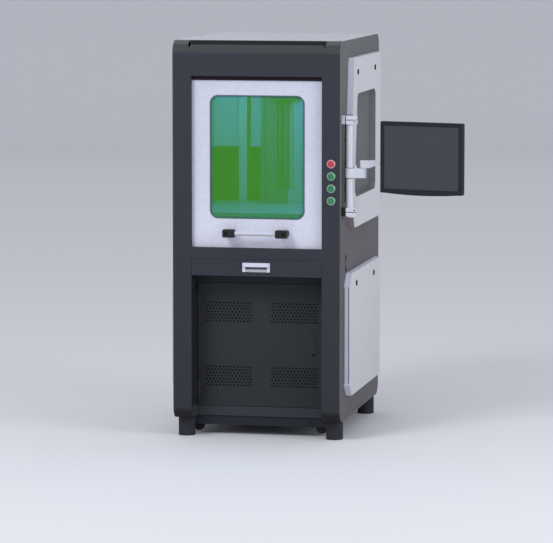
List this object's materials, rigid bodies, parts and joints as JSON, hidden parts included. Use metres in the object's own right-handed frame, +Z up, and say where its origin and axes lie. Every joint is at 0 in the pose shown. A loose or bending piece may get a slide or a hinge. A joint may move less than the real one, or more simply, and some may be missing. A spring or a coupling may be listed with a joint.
{
  "type": "laser marking machine",
  "caption": "Enclosed floor-standing laser marking machine with a lifting safety door and window, keyboard drawer, vented lower bay, side covers and a monitor on a pole arm",
  "frame": {"origin": "on the floor, at the centre of the four machine feet", "axes": "+X to the operator's right, where the monitor is; -Y towards the operator; +Z up"},
  "size_m": [1.2791, 1.1052, 1.6855],
  "materials": {
    "front_paint": "fine textured powder coat",
    "side_paint": "fine textured powder coat",
    "pale_paint": "smooth satin powder coat",
    "base_paint": "satin powder coat",
    "foot_rubber": "moulded rubber",
    "liner_paint": "matt powder coat",
    "recess_paint": "fine textured powder coat",
    "door_paint": "smooth satin powder coat",
    "laser_pane": "tinted acrylic safety window",
    "seal_rubber": "extruded rubber",
    "bright_aluminium": "satin anodised",
    "handle_plastic": "moulded plastic",
    "guide_steel": "ground steel",
    "pull_zinc": "painted die casting",
    "black_steel": "black oxide",
    "latch_plastic": "moulded plastic",
    "button_ring": "satin chromed ring",
    "red_cap": "moulded plastic",
    "green_cap": "moulded plastic",
    "lock_black": "black chromed casting",
    "bush_plastic": "bearing plastic",
    "bezel_plastic": "moulded plastic",
    "screen_film": "anti-glare film",
    "table_aluminium": "milled and anodised",
    "column_aluminium": "anodised extrusion",
    "head_paint": "black anodised housing",
    "lens_glass": "black anodised lens barrel",
    "wheel_rubber": "moulded rubber",
    "unit_paint": "powder coated case"
  },
  "bodies": {
    "cabinet": {"front_frame": "front_paint", "side_plate_left": "side_paint", "side_plate_right": "side_paint", "rear_panel": "front_paint", "roof_panel": "front_paint", "top_cover": "pale_paint", "base_frame": "base_paint", "machine_feet": "foot_rubber", "chamber_liner": "liner_paint", "recess_frame": "recess_paint", "door_rails": "guide_steel", "drawer_rails": "guide_steel", "door_hinges": "black_steel", "button_bezels": "button_ring", "upper_cover_right": "pale_paint", "lower_cover_right": "pale_paint", "upper_cover_left": "pale_paint", "lower_cover_left": "pale_paint", "pole": "bright_aluminium", "pole_clamps": "bright_aluminium", "work_table": "table_aluminium", "z_column": "column_aluminium", "rear_cover": "side_paint", "control_unit": "unit_paint"},
    "safety_door": {"lift_door": "door_paint", "door_window": "laser_pane", "window_gasket": "seal_rubber", "handle_bar": "bright_aluminium", "handle_blocks": "handle_plastic", "door_carriages": "guide_steel"},
    "drawer": {"keyboard_drawer": "front_paint", "drawer_pull": "pull_zinc"},
    "bay_door": {"lower_door": "recess_paint", "latch_housing": "latch_plastic"},
    "bay_latch": {"latch_lever": "latch_plastic"},
    "red_button": {"button_red": "red_cap"},
    "green_button_1": {"button_green_1": "green_cap"},
    "green_button_2": {"button_green_2": "green_cap"},
    "green_button_3": {"button_green_3": "green_cap"},
    "upper_front_lock": {"upper_lock_front": "lock_black"},
    "upper_rear_lock": {"upper_lock_rear": "lock_black"},
    "lower_front_lock": {"lower_lock_front": "lock_black"},
    "lower_rear_lock": {"lower_lock_rear": "lock_black"},
    "arm_carrier": {"arm_bush": "bush_plastic"},
    "arm_stub": {"stub_arm": "bright_aluminium"},
    "arm_boom": {"upper_arm": "bright_aluminium"},
    "arm_head": {"tilt_head": "bright_aluminium"},
    "monitor": {"monitor_housing": "bezel_plastic", "monitor_screen": "screen_film"},
    "laser_axis": {"z_carriage": "head_paint", "marking_head": "head_paint", "scan_lens": "lens_glass"},
    "front_left_fork": {"caster_fork_front_left": "black_steel"},
    "front_left_wheel": {"caster_wheel_front_left": "wheel_rubber"},
    "front_right_fork": {"caster_fork_front_right": "black_steel"},
    "front_right_wheel": {"caster_wheel_front_right": "wheel_rubber"},
    "rear_left_fork": {"caster_fork_rear_left": "black_steel"},
    "rear_left_wheel": {"caster_wheel_rear_left": "wheel_rubber"},
    "rear_right_fork": {"caster_fork_rear_right": "black_steel"},
    "rear_right_wheel": {"caster_wheel_rear_right": "wheel_rubber"}
  },
  "joints": [
    {"name": "door_lift", "type": "slide", "parent": "cabinet", "child": "safety_door", "axis": [0, 0, 1], "range_m": [0, 0.56]},
    {"name": "drawer_slide", "type": "slide", "parent": "cabinet", "child": "drawer", "axis": [0, -1, 0], "range_m": [0, 0.33]},
    {"name": "bay_door_swing", "type": "hinge", "parent": "cabinet", "child": "bay_door", "pos_m": [-0.273, -0.364, 0.389], "axis": [0, 0, -1], "range_deg": [0, 88]},
    {"name": "latch_lift", "type": "hinge", "parent": "bay_door", "child": "bay_latch", "pos_m": [0.225, -0.353, 0.4295], "axis": [-1, 0, 0], "range_deg": [0, 60]},
    {"name": "red_press", "type": "slide", "parent": "cabinet", "child": "red_button", "axis": [0, 1, 0], "range_m": [0, 0.003], "stiffness_N_per_m": 400, "springref_m": -0.002},
    {"name": "green_1_press", "type": "slide", "parent": "cabinet", "child": "green_button_1", "axis": [0, 1, 0], "range_m": [0, 0.003], "stiffness_N_per_m": 400, "springref_m": -0.002},
    {"name": "green_2_press", "type": "slide", "parent": "cabinet", "child": "green_button_2", "axis": [0, 1, 0], "range_m": [0, 0.003], "stiffness_N_per_m": 400, "springref_m": -0.002},
    {"name": "green_3_press", "type": "slide", "parent": "cabinet", "child": "green_button_3", "axis": [0, 1, 0], "range_m": [0, 0.003], "stiffness_N_per_m": 400, "springref_m": -0.002},
    {"name": "upper_front_lock_turn", "type": "hinge", "parent": "cabinet", "child": "upper_front_lock", "pos_m": [0.384, -0.197, 1.547], "axis": [1, 0, 0], "range_deg": [0, 90]},
    {"name": "upper_rear_lock_turn", "type": "hinge", "parent": "cabinet", "child": "upper_rear_lock", "pos_m": [0.384, 0.229, 1.547], "axis": [1, 0, 0], "range_deg": [0, 90]},
    {"name": "lower_front_lock_turn", "type": "hinge", "parent": "cabinet", "child": "lower_front_lock", "pos_m": [0.384, -0.22, 0.649], "axis": [1, 0, 0], "range_deg": [0, 90]},
    {"name": "lower_rear_lock_turn", "type": "hinge", "parent": "cabinet", "child": "lower_rear_lock", "pos_m": [0.384, 0.208, 0.649], "axis": [1, 0, 0], "range_deg": [0, 90]},
    {"name": "arm_height", "type": "slide", "parent": "cabinet", "child": "arm_carrier", "axis": [0, 0, 1], "range_m": [-0.12, 0.145]},
    {"name": "arm_swivel", "type": "hinge", "parent": "arm_carrier", "child": "arm_stub", "pos_m": [0.3935, -0.43, 1.135], "axis": [0, 0, 1], "range_deg": [-45, 30]},
    {"name": "elbow_turn", "type": "hinge", "parent": "arm_stub", "child": "arm_boom", "pos_m": [0.449, -0.43, 1.15], "axis": [0, 0, 1], "range_deg": [-90, 45]},
    {"name": "monitor_pan", "type": "hinge", "parent": "arm_boom", "child": "arm_head", "pos_m": [0.739, -0.43, 1.18], "axis": [0, 0, 1], "range_deg": [-1.5, 60]},
    {"name": "monitor_tilt", "type": "hinge", "parent": "arm_head", "child": "monitor", "pos_m": [0.72853, -0.46653, 1.208], "axis": [0.9613, -0.2756, 0], "range_deg": [-5, 12]},
    {"name": "laser_height", "type": "slide", "parent": "cabinet", "child": "laser_axis", "axis": [0, 0, 1], "range_m": [-0.38, 0.04]},
    {"name": "front_left_swivel", "type": "hinge", "parent": "cabinet", "child": "front_left_fork", "pos_m": [-0.268, -0.302, 0.074], "axis": [0, 0, 1], "continuous": true},
    {"name": "front_left_roll", "type": "hinge", "parent": "front_left_fork", "child": "front_left_wheel", "pos_m": [-0.285, -0.302, 0.0337], "axis": [0, 1, 0], "continuous": true},
    {"name": "front_right_swivel", "type": "hinge", "parent": "cabinet", "child": "front_right_fork", "pos_m": [0.268, -0.302, 0.074], "axis": [0, 0, 1], "continuous": true},
    {"name": "front_right_roll", "type": "hinge", "parent": "front_right_fork", "child": "front_right_wheel", "pos_m": [0.251, -0.302, 0.0337], "axis": [0, 1, 0], "continuous": true},
    {"name": "rear_left_swivel", "type": "hinge", "parent": "cabinet", "child": "rear_left_fork", "pos_m": [-0.268, 0.302, 0.074], "axis": [0, 0, 1], "continuous": true},
    {"name": "rear_left_roll", "type": "hinge", "parent": "rear_left_fork", "child": "rear_left_wheel", "pos_m": [-0.268, 0.319, 0.0337], "axis": [1, 0, 0], "continuous": true},
    {"name": "rear_right_swivel", "type": "hinge", "parent": "cabinet", "child": "rear_right_fork", "pos_m": [0.268, 0.302, 0.074], "axis": [0, 0, 1], "continuous": true},
    {"name": "rear_right_roll", "type": "hinge", "parent": "rear_right_fork", "child": "rear_right_wheel", "pos_m": [0.268, 0.319, 0.0337], "axis": [1, 0, 0], "continuous": true}
  ]
}
